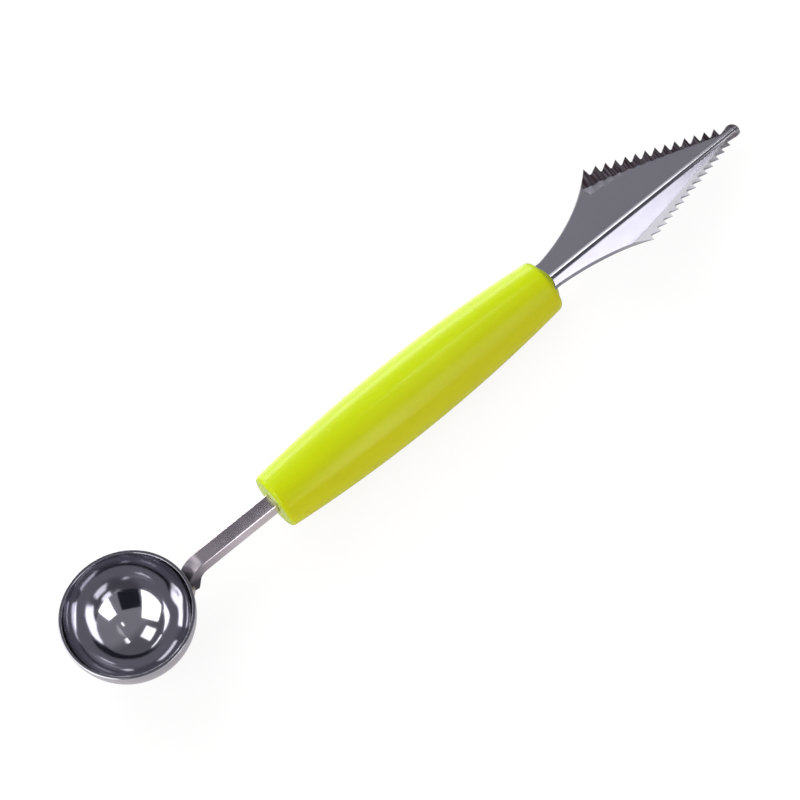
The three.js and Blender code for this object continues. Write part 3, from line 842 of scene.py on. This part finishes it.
def set_floor():
    """White floor: it shows as white to the camera and as a pale grey in reflections, and its matt share
    keeps a faint shadow."""
    settings = bpy.context.scene.knife_stage
    half = 1.5  # half the floor's side
    shown_share, mirrored_share = 0.9, 0.7  # shares of the even tone for the camera and in reflections
    mesh = bpy.data.meshes.new("floor")
    corners = [(-half, -half, 0), (half, -half, 0), (half, half, 0), (-half, half, 0)]
    mesh.from_pydata(corners, [], [(0, 1, 2, 3)])
    material, tree = new_material("white_floor")
    path = add(tree, "LightPath").outputs
    seen = add(tree, "Math", {"operation": "MAXIMUM"},
               links={0: path["Is Glossy Ray"], 1: path["Is Transmission Ray"]})
    mirrored = add(tree, "Math", {"operation": "MULTIPLY"}, {1: mirrored_share}, {0: seen})
    share = add(tree, "Math", {"operation": "MULTIPLY_ADD"}, {1: shown_share},
                {0: path["Is Camera Ray"], 2: mirrored})
    tone = add(tree, "Mix", COLOURS, {6: solid(settings.white), 7: solid(settings.pale)}, {0: seen})
    matt = add(tree, "BsdfDiffuse", values={"Color": solid(settings.white)})
    glow = add(tree, "Emission", links={"Color": tone.outputs[2]})
    mix = add(tree, "MixShader", links={0: share, 1: matt, 2: glow})
    add(tree, "OutputMaterial", links={"Surface": mix})
    mesh.materials.append(material)
    floor = bpy.data.objects.new("floor", mesh)
    bpy.context.collection.objects.link(floor)


def set_world():
    """White background for the camera. In reflections it is a room that is pale low down and grey higher up,
    and darker behind the object than in front of it. Matt surfaces get an even fill from it."""
    settings = bpy.context.scene.knife_stage
    world = bpy.data.worlds.new("studio")
    world.use_nodes = True
    tree = world.node_tree
    tree.nodes.clear()
    path = add(tree, "LightPath").outputs
    way = add(tree, "TexCoord").outputs["Generated"]
    axes = add(tree, "SeparateXYZ", links={"Vector": way}).outputs
    behind = add(tree, "MapRange", {"interpolation_type": "SMOOTHSTEP"},
                 {"From Max": 0.4}, {"Value": axes["Y"]})
    walls = add(tree, "Mix", COLOURS, {6: solid(settings.room), 7: solid(settings.dim)}, {0: behind})
    level = add(tree, "MapRange", {"interpolation_type": "SMOOTHSTEP"},
                {"From Min": 0.05, "From Max": 0.4}, {"Value": axes["Z"]})
    room = add(tree, "Mix", COLOURS, {6: solid(settings.pale)}, {0: level, 7: walls.outputs[2]})
    filled = add(tree, "Mix", COLOURS, {7: solid(settings.fill)},
                 {0: path["Is Diffuse Ray"], 6: room.outputs[2]})
    shown = add(tree, "Mix", COLOURS, {7: solid(settings.white)},
                {0: path["Is Camera Ray"], 6: filled.outputs[2]})
    glow = add(tree, "Background", links={"Color": shown.outputs[2]})
    add(tree, "OutputWorld", links={"Surface": glow})
    world.cycles.sampling_method = "NONE"
    bpy.context.scene.world = world


# Operators

class KNIFE_OT_handle(bpy.types.Operator):
    """Makes the moulded handle"""

    bl_idname = "knife.handle"
    bl_label = "Handle"

    def execute(self, context):
        place("moulded_handle", grid_mesh("moulded_handle", handle_points()), lime_plastic(),
              "handle")
        return {"FINISHED"}


class KNIFE_OT_bowl(bpy.types.Operator):
    """Makes the scoop's polished bowl"""

    bl_idname = "knife.bowl"
    bl_label = "Scoop bowl"

    def execute(self, context):
        place("polished_bowl", grid_mesh("polished_bowl", bowl_points()), polished_steel(),
              "scoop_bowl")
        return {"FINISHED"}


class KNIFE_OT_stem(bpy.types.Operator):
    """Makes the scoop's stem and the two welds that hold the bowl"""

    bl_idname = "knife.stem"
    bl_label = "Stem and welds"

    def execute(self, context):
        # The stem carries painted shade on its foot and the end of its bend.
        points, scorch_and_shade = stem_points()
        place("square_stem", grid_mesh("square_stem", points, {"scorch_and_shade": scorch_and_shade}), drawn_steel(),
              "scoop_stem")
        bead = weld_steel()
        for side, name in ((1, "left"), (-1, "right")):
            label = "weld_bead_" + name
            place(label, grid_mesh(label, weld_points(side)), bead, "stem_weld_" + name)
        return {"FINISHED"}


class KNIFE_OT_blade(bpy.types.Operator):
    """Makes the folded and ground blade"""

    bl_idname = "knife.blade"
    bl_label = "Carving blade"

    def execute(self, context):
        points, ground, worn = blade_points()
        mesh = grid_mesh("folded_blade", points, {"ground": ground, "worn": worn})
        place("folded_blade", mesh, blade_steel(), "carving_blade")
        return {"FINISHED"}


class KNIFE_OT_stage(bpy.types.Operator):
    """Sets the camera, the floor, the background and the lamps"""

    bl_idname = "knife.stage"
    bl_label = "Stage"

    def execute(self, context):
        context.scene.view_settings.view_transform = "Standard"
        set_camera()
        set_floor()
        set_world()
        settings = context.scene.knife_stage
        handle, bowl, blade = (0, 0, 0.01), (-0.082, 0, 0.015), (0.068, 0, 0.01)
        tip = (0.098, 0, 0.01)
        front = set_lamp("front_window", bowl, (0.43, -0.855, 0.504), 0.5, (0.29, 0.36), 3.5,
                         (0.45, -0.12, 0.97))
        low = set_lamp("low_panel", handle, (0.17, 0.95, 0.25), 1.3, (1.0, 0.4), 6)
        # These two only shine back from the steel and the handle's gloss. The keys light the matt surfaces.
        front.visible_diffuse = low.visible_diffuse = False
        set_lamp("side_window", bowl, (-0.76, -0.08, 0.62), 0.8, (0.5, 0.85), 3, (0.77, 0.53, 0.4))
        set_lamp("roof_window", bowl, (-0.16, 0.45, 0.878), 0.5, (0.18, 0.18), 1.8)
        set_lamp("back_window", bowl, (-0.172, 0.87, 0.462), 0.5, (0.2, 0.2), 2.5)
        set_lamp("small_lamp", bowl, (0.237, -0.275, 0.932), 0.5, (0.02, 0.06), 3, (0, 1, 0))
        set_lamp("blade_panel", blade, (0.171, 0.25, 0.954), 0.35, (0.13, 0.07), 6.5, (0, 1, 0), 40)
        set_lamp("blade_strip", blade, (0.171, -0.15, 0.974), 0.35, (0.13, 0.18), 1.3, (0, 1, 0), 40)
        set_key("back_key", handle, (0.1, 0.75, 0.65), 1.3, (1.0, 1.0), 3.7, settings.white)
        set_key("front_key", handle, (0.1, -0.98, 0.15), 1.3, (0.9, 0.9), 3.5, settings.warm)
        set_card("dark_card", bowl, (-0.43, -0.69, 0.58), 1.2, (0.8, 1.0), settings.dark)
        set_card("wing_card", blade, (0.19, -0.80, 0.57), 0.16, (0.16, 0.2), settings.room)
        set_card("tip_card", tip, (0.18, 0.95, 0.22), 0.12, (0.125, 0.066), settings.white)
        # Stands close behind the handle and gives its far edge a pale shine.
        set_card("edge_card", (0, 0, 0.009), (0, 1, 0), 0.016, (0.085, 0.018), settings.white, 2)
        return {"FINISHED"}


class KNIFE_PT_panel(bpy.types.Panel):
    """Buttons for the pieces and the stage"""

    bl_label = "Fruit carving knife"
    bl_idname = "KNIFE_PT_panel"
    bl_space_type = "VIEW_3D"
    bl_region_type = "UI"
    bl_category = "Fruit knife"

    def draw(self, context):
        for operator in OPERATORS:
            self.layout.operator(operator.bl_idname)


SETTINGS = {
    "knife_handle": HandleSettings,
    "knife_scoop": ScoopSettings,
    "knife_blade": BladeSettings,
    "knife_stage": StageSettings,
}
OPERATORS = (KNIFE_OT_handle, KNIFE_OT_bowl, KNIFE_OT_stem, KNIFE_OT_blade, KNIFE_OT_stage)


def register():
    for kind in (*SETTINGS.values(), *OPERATORS, KNIFE_PT_panel):
        bpy.utils.register_class(kind)
    for name, kind in SETTINGS.items():
        setattr(bpy.types.Scene, name, PointerProperty(type=kind))


def unregister():
    for name in SETTINGS:
        delattr(bpy.types.Scene, name)
    for kind in (KNIFE_PT_panel, *reversed(OPERATORS), *reversed(tuple(SETTINGS.values()))):
        bpy.utils.unregister_class(kind)


def main():
    register()
    bpy.ops.knife.handle()
    bpy.ops.knife.bowl()
    bpy.ops.knife.stem()
    bpy.ops.knife.blade()
    bpy.ops.knife.stage()


if __name__ == "__main__":
    main()
